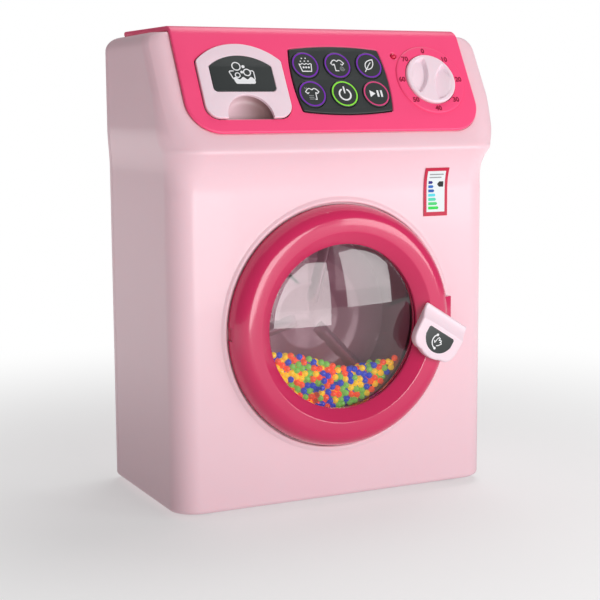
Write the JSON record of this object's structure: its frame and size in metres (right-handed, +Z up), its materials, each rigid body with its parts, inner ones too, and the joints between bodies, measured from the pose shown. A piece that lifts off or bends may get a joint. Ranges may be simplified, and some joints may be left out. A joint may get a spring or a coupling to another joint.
{
  "type": "toy washing machine",
  "caption": "Toy front-loading washing machine with a tilted control panel, round window door on a hinge, bead-filled geared drum, dial, press keys and pull-out drawer.",
  "frame": {"origin": "middle of the outline at the level of the feet", "axes": "+Z up, +Y from the front to the back, +X to the right seen from the front"},
  "size_m": [0.2106, 0.1298, 0.2704],
  "materials": {
    "pale_pink": "satin pale pink ABS",
    "hot_pink": "glossy hot pink ABS",
    "raspberry": "high gloss raspberry ABS",
    "blush": "glossy blush white ABS",
    "black": "satin charcoal ABS",
    "mauve": "glossy dark mauve ABS",
    "rubber": "matt grey rubber",
    "board": "green solder mask",
    "white": "satin natural plastic",
    "gear_white": "satin acetal",
    "steel": "bright zinc plated",
    "brass": "machined brass",
    "beads": "glossy mixed red, yellow, green and blue beads",
    "label": "printed film with coloured bars",
    "cell": "plain blue film over metal",
    "dark": "matt black",
    "clear": "clear polystyrene",
    "red_clear": "red tinted lens"
  },
  "bodies": {
    "cabinet": {"front_shell": "pale_pink", "rear_cover": "pale_pink", "control_fascia": "hot_pink", "level_label": "label", "button_panel": "black", "keypad_mat": "rubber", "control_board": "board", "dial_encoder": "dark", "status_led": "red_clear", "drawer_sleeve": "white", "door_hinge": "raspberry", "gear_frame": "white", "bead_fill": "beads", "motor": "steel", "idler_pin": "steel", "contact_left": "steel", "contact_right": "steel", "battery_door": "pale_pink", "speaker": "dark", "cell_1": "cell", "cell_2": "cell", "cell_3": "cell", "cover_screw_1": "steel", "cover_screw_2": "steel", "cover_screw_3": "steel", "cover_screw_4": "steel", "foot_1": "rubber", "foot_2": "rubber", "foot_3": "rubber", "foot_4": "rubber", "frame_screw_1": "steel", "frame_screw_2": "steel", "frame_screw_3": "steel", "frame_screw_4": "steel"},
    "door": {"door_ring": "raspberry", "door_inner_ring": "raspberry", "door_window": "clear", "hinge_pin": "steel", "door_screw_1": "steel", "door_screw_2": "steel", "door_screw_3": "steel", "door_screw_4": "steel"},
    "latch": {"latch_handle": "blush", "latch_sticker": "black", "latch_cam": "white"},
    "drum": {"drum_front": "clear", "drum_back": "mauve", "drum_axle": "steel", "drum_gear": "gear_white"},
    "idler_wheel": {"compound_gear": "gear_white"},
    "motor_wheel": {"motor_pinion": "brass"},
    "dial": {"knob": "blush"},
    "detergent_drawer": {"drawer": "blush", "drawer_sticker": "black"},
    "button_1": {"key_1": "black"},
    "button_2": {"key_2": "black"},
    "button_3": {"key_3": "black"},
    "button_4": {"key_4": "black"},
    "button_5": {"key_5": "black"},
    "button_6": {"key_6": "black"}
  },
  "joints": [
    {"name": "door_swing", "type": "hinge", "parent": "cabinet", "child": "door", "pos_m": [-0.0668, -0.04975, 0.103], "axis": [0, 0, -1], "range_deg": [0, 90]},
    {"name": "latch_turn", "type": "hinge", "parent": "door", "child": "latch", "pos_m": [0.0585, -0.05915, 0.1], "axis": [0, 1, 0], "range_deg": [0, 58]},
    {"name": "drum_spin", "type": "hinge", "parent": "cabinet", "child": "drum", "pos_m": [0, -0.01715, 0.103], "axis": [0, 1, 0], "continuous": true},
    {"name": "idler_spin", "type": "hinge", "parent": "cabinet", "child": "idler_wheel", "pos_m": [-0.03258, 0.01885, 0.12181], "axis": [0, 1, 0], "continuous": true},
    {"name": "motor_spin", "type": "hinge", "parent": "cabinet", "child": "motor_wheel", "pos_m": [-0.04689, 0.02185, 0.1466], "axis": [0, 1, 0], "continuous": true},
    {"name": "dial_turn", "type": "hinge", "parent": "cabinet", "child": "dial", "pos_m": [0.0639, -0.03847, 0.2413], "axis": [0, -0.8712, 0.4909], "continuous": true},
    {"name": "drawer_slide", "type": "slide", "parent": "cabinet", "child": "detergent_drawer", "axis": [0, -0.8712, 0.4909], "range_m": [0, 0.026]},
    {"name": "button_1_press", "type": "slide", "parent": "cabinet", "child": "button_1", "axis": [0, 0.8712, -0.4909], "range_m": [0, 0.001], "stiffness_N_per_m": 300},
    {"name": "button_2_press", "type": "slide", "parent": "cabinet", "child": "button_2", "axis": [0, 0.8712, -0.4909], "range_m": [0, 0.001], "stiffness_N_per_m": 300},
    {"name": "button_3_press", "type": "slide", "parent": "cabinet", "child": "button_3", "axis": [0, 0.8712, -0.4909], "range_m": [0, 0.001], "stiffness_N_per_m": 300},
    {"name": "button_4_press", "type": "slide", "parent": "cabinet", "child": "button_4", "axis": [0, 0.8712, -0.4909], "range_m": [0, 0.001], "stiffness_N_per_m": 300},
    {"name": "button_5_press", "type": "slide", "parent": "cabinet", "child": "button_5", "axis": [0, 0.8712, -0.4909], "range_m": [0, 0.001], "stiffness_N_per_m": 300},
    {"name": "button_6_press", "type": "slide", "parent": "cabinet", "child": "button_6", "axis": [0, 0.8712, -0.4909], "range_m": [0, 0.001], "stiffness_N_per_m": 300}
  ],
  "couplings": [
    {"joint": "idler_spin", "follows": "drum_spin", "ratio": -4},
    {"joint": "motor_spin", "follows": "drum_spin", "ratio": 11.2}
  ]
}
